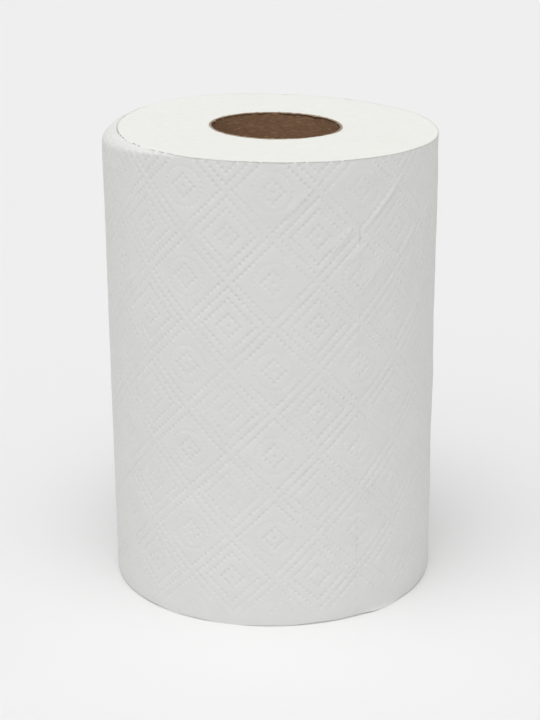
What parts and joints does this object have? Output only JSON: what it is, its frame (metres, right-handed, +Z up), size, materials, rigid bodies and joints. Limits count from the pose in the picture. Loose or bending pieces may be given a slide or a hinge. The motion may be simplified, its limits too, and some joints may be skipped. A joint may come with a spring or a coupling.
{
  "type": "paper towel roll",
  "caption": "Roll of white embossed kitchen towel, perforated into short sheets and wound on a brown paperboard core tube.",
  "frame": {"origin": "on the axis of the core tube, in the plane of the lower end that the roll stands on", "axes": "+Z runs up the core's axis, +X points away from the crushed upper edge, and -Y faces the viewer"},
  "size_m": [0.1438, 0.1435, 0.2046],
  "materials": {
    "core_board": "matte fibrous brown paperboard",
    "towel_paper": "matte soft white embossed paper"
  },
  "bodies": {
    "root": {"core_tube": "core_board", "paper_roll": "towel_paper"}
  },
  "joints": []
}
